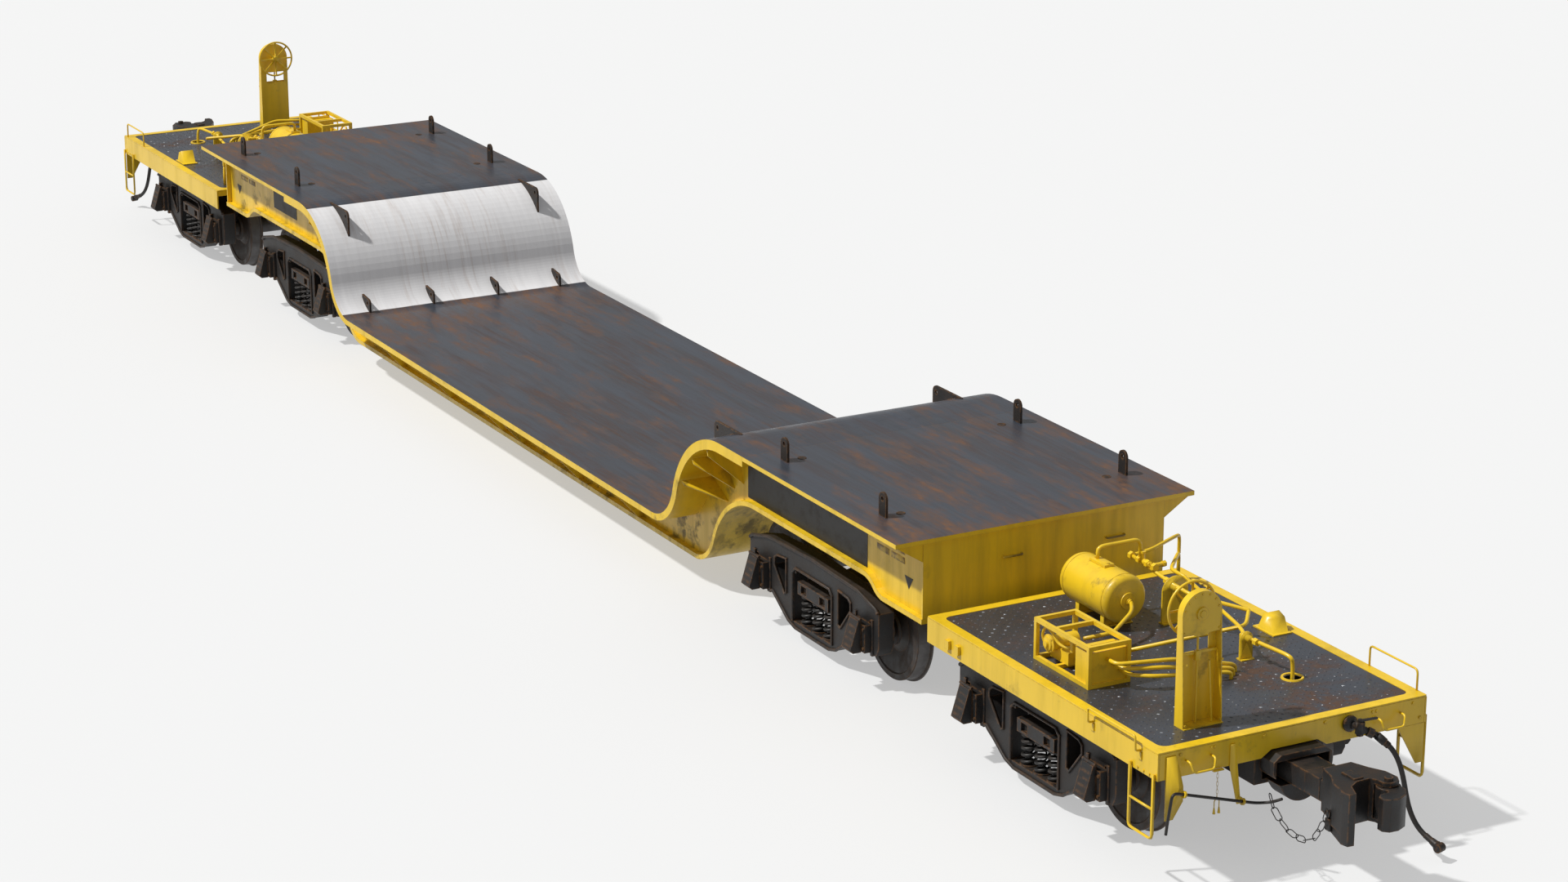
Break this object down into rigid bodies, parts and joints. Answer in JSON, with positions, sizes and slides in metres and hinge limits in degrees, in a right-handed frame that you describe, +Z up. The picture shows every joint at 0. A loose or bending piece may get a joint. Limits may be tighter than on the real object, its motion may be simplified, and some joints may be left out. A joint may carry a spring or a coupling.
{
  "type": "depressed-centre railway flatcar",
  "caption": "Depressed-centre railway flatcar: cranked box-girder deck on span bolsters and trucks, with end platforms, hand brake, air brake gear and couplers.",
  "frame": {"origin": "middle of the car between the wheels' lowest points, at the bottom of the wheel flanges", "axes": "+X along the car to the B end, +Y to its left side, +Z up"},
  "size_m": [25.744, 2.944, 2.2197],
  "materials": {
    "yellow_paint": "satin, dirty and scratched",
    "deck_steel": "worn dark plate with rust streaks",
    "slope_paint": "worn pale paint",
    "tread_steel": "diamond tread plate",
    "lug_steel": "dark casting",
    "worn_steel": "worn bright",
    "rusty_casting": "rough dark casting",
    "wheel_steel": "rolled steel",
    "spring_steel": "gloss black",
    "black_iron": "black",
    "hose_rubber": "matte"
  },
  "bodies": {
    "car_body": {"well_floor": "deck_steel", "slope_plates": "slope_paint", "raised_decks": "deck_steel", "side_webs": "yellow_paint", "bottom_plates": "yellow_paint", "end_plates": "yellow_paint", "stiffeners": "yellow_paint", "inner_girders": "yellow_paint", "centre_plates": "worn_steel", "tie_down_lugs": "lug_steel"},
    "a_span": {"a_span_bolster": "rusty_casting", "a_platform_frame": "yellow_paint", "a_tread_plate": "tread_steel", "a_safety_irons": "yellow_paint", "a_brake_stand": "yellow_paint", "a_air_reservoir": "yellow_paint", "a_valve_crate": "yellow_paint", "a_brake_pipes": "yellow_paint", "a_air_hose": "hose_rubber", "a_hose_coupling": "rusty_casting"},
    "a_brake_wheel_body": {"a_brake_wheel": "yellow_paint"},
    "a_cock_handle_body": {"a_cock_handle": "black_iron"},
    "a_coupler_body": {"a_coupler": "rusty_casting"},
    "a_knuckle_body": {"a_knuckle": "rusty_casting"},
    "a_cut_lever_body": {"a_cut_lever": "black_iron"},
    "a_inner_bolster_body": {"a_inner_bolster": "rusty_casting"},
    "a_inner_frames_body": {"a_inner_side_frames": "rusty_casting", "a_inner_springs": "spring_steel"},
    "a_inner_wheelset_1_body": {"a_inner_wheelset_1": "wheel_steel"},
    "a_inner_wheelset_2_body": {"a_inner_wheelset_2": "wheel_steel"},
    "a_outer_bolster_body": {"a_outer_bolster": "rusty_casting"},
    "a_outer_frames_body": {"a_outer_side_frames": "rusty_casting", "a_outer_springs": "spring_steel"},
    "a_outer_wheelset_1_body": {"a_outer_wheelset_1": "wheel_steel"},
    "a_outer_wheelset_2_body": {"a_outer_wheelset_2": "wheel_steel"},
    "b_span": {"b_span_bolster": "rusty_casting", "b_platform_frame": "yellow_paint", "b_tread_plate": "tread_steel", "b_safety_irons": "yellow_paint", "b_brake_stand": "yellow_paint", "b_air_reservoir": "yellow_paint", "b_valve_crate": "yellow_paint", "b_brake_pipes": "yellow_paint", "b_air_hose": "hose_rubber", "b_hose_coupling": "rusty_casting"},
    "b_brake_wheel_body": {"b_brake_wheel": "yellow_paint"},
    "b_cock_handle_body": {"b_cock_handle": "black_iron"},
    "b_coupler_body": {"b_coupler": "rusty_casting"},
    "b_knuckle_body": {"b_knuckle": "rusty_casting"},
    "b_cut_lever_body": {"b_cut_lever": "black_iron"},
    "b_inner_bolster_body": {"b_inner_bolster": "rusty_casting"},
    "b_inner_frames_body": {"b_inner_side_frames": "rusty_casting", "b_inner_springs": "spring_steel"},
    "b_inner_wheelset_1_body": {"b_inner_wheelset_1": "wheel_steel"},
    "b_inner_wheelset_2_body": {"b_inner_wheelset_2": "wheel_steel"},
    "b_outer_bolster_body": {"b_outer_bolster": "rusty_casting"},
    "b_outer_frames_body": {"b_outer_side_frames": "rusty_casting", "b_outer_springs": "spring_steel"},
    "b_outer_wheelset_1_body": {"b_outer_wheelset_1": "wheel_steel"},
    "b_outer_wheelset_2_body": {"b_outer_wheelset_2": "wheel_steel"}
  },
  "joints": [
    {"name": "a_span_swivel", "type": "hinge", "parent": "car_body", "child": "a_span", "pos_m": [-7.915, 0, 0.93], "axis": [0, 0, 1], "range_deg": [-5, 5]},
    {"name": "a_brake_wheel_spin", "type": "hinge", "parent": "a_span", "child": "a_brake_wheel_body", "pos_m": [-11.19, 0.645, 1.995], "axis": [-1, 0, 0], "continuous": true},
    {"name": "a_cock_turn", "type": "hinge", "parent": "a_span", "child": "a_cock_handle_body", "pos_m": [-11.782, -0.538, 1.004], "axis": [0, 0, -1], "range_deg": [0, 90]},
    {"name": "a_coupler_swing", "type": "hinge", "parent": "a_span", "child": "a_coupler_body", "pos_m": [-11.242, 0, 0.777], "axis": [0, 0, 1], "range_deg": [-7, 7]},
    {"name": "a_knuckle_turn", "type": "hinge", "parent": "a_coupler_body", "child": "a_knuckle_body", "pos_m": [-12.63, -0.165, 0.79], "axis": [0, 0, 1], "range_deg": [0, 50]},
    {"name": "a_lever_lift", "type": "hinge", "parent": "a_span", "child": "a_cut_lever_body", "pos_m": [-11.75, 1.052, 0.762], "axis": [0, 0.9559, 0.2938], "range_deg": [0, 40]},
    {"name": "a_inner_truck_swivel", "type": "hinge", "parent": "a_span", "child": "a_inner_bolster_body", "pos_m": [-6.09, 0, 0.65], "axis": [0, 0, 1], "range_deg": [-6, 6]},
    {"name": "a_inner_suspension", "type": "slide", "parent": "a_inner_bolster_body", "child": "a_inner_frames_body", "axis": [0, 0, 1], "range_m": [0, 0.05], "stiffness_N_per_m": 6000000, "springref_m": -0.06, "deforming": ["a_inner_springs"]},
    {"name": "a_inner_wheelset_1_roll", "type": "hinge", "parent": "a_inner_frames_body", "child": "a_inner_wheelset_1_body", "pos_m": [-5.175, 0, 0.482], "axis": [0, -1, 0], "continuous": true},
    {"name": "a_inner_wheelset_2_roll", "type": "hinge", "parent": "a_inner_frames_body", "child": "a_inner_wheelset_2_body", "pos_m": [-7.005, 0, 0.482], "axis": [0, -1, 0], "continuous": true},
    {"name": "a_outer_truck_swivel", "type": "hinge", "parent": "a_span", "child": "a_outer_bolster_body", "pos_m": [-9.74, 0, 0.65], "axis": [0, 0, 1], "range_deg": [-6, 6]},
    {"name": "a_outer_suspension", "type": "slide", "parent": "a_outer_bolster_body", "child": "a_outer_frames_body", "axis": [0, 0, 1], "range_m": [0, 0.05], "stiffness_N_per_m": 6000000, "springref_m": -0.06, "deforming": ["a_outer_springs"]},
    {"name": "a_outer_wheelset_1_roll", "type": "hinge", "parent": "a_outer_frames_body", "child": "a_outer_wheelset_1_body", "pos_m": [-8.825, 0, 0.482], "axis": [0, -1, 0], "continuous": true},
    {"name": "a_outer_wheelset_2_roll", "type": "hinge", "parent": "a_outer_frames_body", "child": "a_outer_wheelset_2_body", "pos_m": [-10.655, 0, 0.482], "axis": [0, -1, 0], "continuous": true},
    {"name": "b_span_swivel", "type": "hinge", "parent": "car_body", "child": "b_span", "pos_m": [7.915, 0, 0.93], "axis": [0, 0, 1], "range_deg": [-5, 5]},
    {"name": "b_brake_wheel_spin", "type": "hinge", "parent": "b_span", "child": "b_brake_wheel_body", "pos_m": [11.19, -0.645, 1.995], "axis": [1, 0, 0], "continuous": true},
    {"name": "b_cock_turn", "type": "hinge", "parent": "b_span", "child": "b_cock_handle_body", "pos_m": [11.782, 0.538, 1.004], "axis": [0, 0, -1], "range_deg": [0, 90]},
    {"name": "b_coupler_swing", "type": "hinge", "parent": "b_span", "child": "b_coupler_body", "pos_m": [11.242, 0, 0.777], "axis": [0, 0, 1], "range_deg": [-7, 7]},
    {"name": "b_knuckle_turn", "type": "hinge", "parent": "b_coupler_body", "child": "b_knuckle_body", "pos_m": [12.63, 0.165, 0.79], "axis": [0, 0, 1], "range_deg": [0, 50]},
    {"name": "b_lever_lift", "type": "hinge", "parent": "b_span", "child": "b_cut_lever_body", "pos_m": [11.75, -1.052, 0.762], "axis": [0, -0.9559, 0.2938], "range_deg": [0, 40]},
    {"name": "b_inner_truck_swivel", "type": "hinge", "parent": "b_span", "child": "b_inner_bolster_body", "pos_m": [6.09, 0, 0.65], "axis": [0, 0, 1], "range_deg": [-6, 6]},
    {"name": "b_inner_suspension", "type": "slide", "parent": "b_inner_bolster_body", "child": "b_inner_frames_body", "axis": [0, 0, 1], "range_m": [0, 0.05], "stiffness_N_per_m": 6000000, "springref_m": -0.06, "deforming": ["b_inner_springs"]},
    {"name": "b_inner_wheelset_1_roll", "type": "hinge", "parent": "b_inner_frames_body", "child": "b_inner_wheelset_1_body", "pos_m": [5.175, 0, 0.482], "axis": [0, 1, 0], "continuous": true},
    {"name": "b_inner_wheelset_2_roll", "type": "hinge", "parent": "b_inner_frames_body", "child": "b_inner_wheelset_2_body", "pos_m": [7.005, 0, 0.482], "axis": [0, 1, 0], "continuous": true},
    {"name": "b_outer_truck_swivel", "type": "hinge", "parent": "b_span", "child": "b_outer_bolster_body", "pos_m": [9.74, 0, 0.65], "axis": [0, 0, 1], "range_deg": [-6, 6]},
    {"name": "b_outer_suspension", "type": "slide", "parent": "b_outer_bolster_body", "child": "b_outer_frames_body", "axis": [0, 0, 1], "range_m": [0, 0.05], "stiffness_N_per_m": 6000000, "springref_m": -0.06, "deforming": ["b_outer_springs"]},
    {"name": "b_outer_wheelset_1_roll", "type": "hinge", "parent": "b_outer_frames_body", "child": "b_outer_wheelset_1_body", "pos_m": [8.825, 0, 0.482], "axis": [0, 1, 0], "continuous": true},
    {"name": "b_outer_wheelset_2_roll", "type": "hinge", "parent": "b_outer_frames_body", "child": "b_outer_wheelset_2_body", "pos_m": [10.655, 0, 0.482], "axis": [0, 1, 0], "continuous": true}
  ]
}
